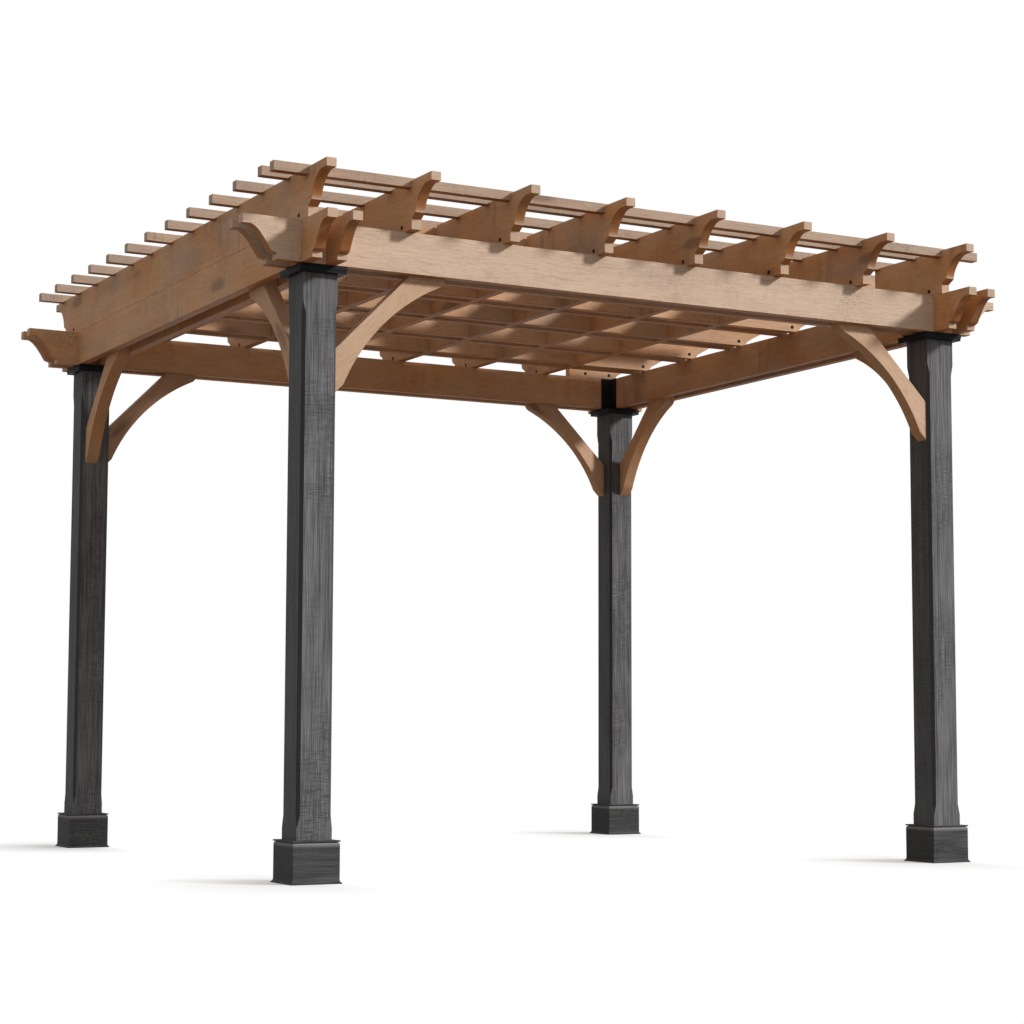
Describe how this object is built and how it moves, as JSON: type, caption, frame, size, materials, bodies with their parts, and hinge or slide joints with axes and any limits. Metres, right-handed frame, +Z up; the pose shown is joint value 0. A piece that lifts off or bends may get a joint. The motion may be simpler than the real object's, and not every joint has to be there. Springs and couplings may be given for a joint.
{
  "type": "wooden pergola",
  "caption": "Free-standing wooden pergola with boxed post feet, curved knee braces, coved beam tails and an open lattice roof with slats.",
  "frame": {"origin": "on the ground, at the middle of the plan", "axes": "+Z up, front of the pergola towards -Y, longer side along X"},
  "size_m": [3.602, 3.346, 2.672],
  "materials": {
    "post_wood": "charcoal stain, rough sawn",
    "base_wood": "charcoal stain, rough sawn",
    "black_cap": "satin black",
    "black_steel": "satin black powder coat",
    "brace_wood": "stained, planed",
    "beam_wood": "stained, planed",
    "rafter_wood": "stained, planed",
    "slat_wood": "stained, planed"
  },
  "bodies": {
    "root": {"post_front_left": "post_wood", "post_front_right": "post_wood", "post_back_left": "post_wood", "post_back_right": "post_wood", "base_front_left": "base_wood", "base_front_right": "base_wood", "base_back_left": "base_wood", "base_back_right": "base_wood", "cap_front_left": "black_cap", "cap_front_right": "black_cap", "cap_back_left": "black_cap", "cap_back_right": "black_cap", "bracket_front_left": "black_steel", "bracket_front_right": "black_steel", "bracket_back_left": "black_steel", "bracket_back_right": "black_steel", "brace_front_left_across": "brace_wood", "brace_front_left_along": "brace_wood", "brace_front_right_across": "brace_wood", "brace_front_right_along": "brace_wood", "brace_back_left_across": "brace_wood", "brace_back_left_along": "brace_wood", "brace_back_right_across": "brace_wood", "brace_back_right_along": "brace_wood", "beam_front": "beam_wood", "beam_back": "beam_wood", "beam_left": "beam_wood", "beam_right": "beam_wood", "rafter_1": "rafter_wood", "rafter_2": "rafter_wood", "rafter_3": "rafter_wood", "rafter_4": "rafter_wood", "rafter_5": "rafter_wood", "rafter_6": "rafter_wood", "rafter_7": "rafter_wood", "corner_rafter": "rafter_wood", "cross_beam_1": "rafter_wood", "cross_beam_2": "rafter_wood", "cross_beam_3": "rafter_wood", "cross_beam_4": "rafter_wood", "cross_beam_5": "rafter_wood", "corner_cross_beam": "rafter_wood", "roof_slats": "slat_wood"}
  },
  "joints": []
}
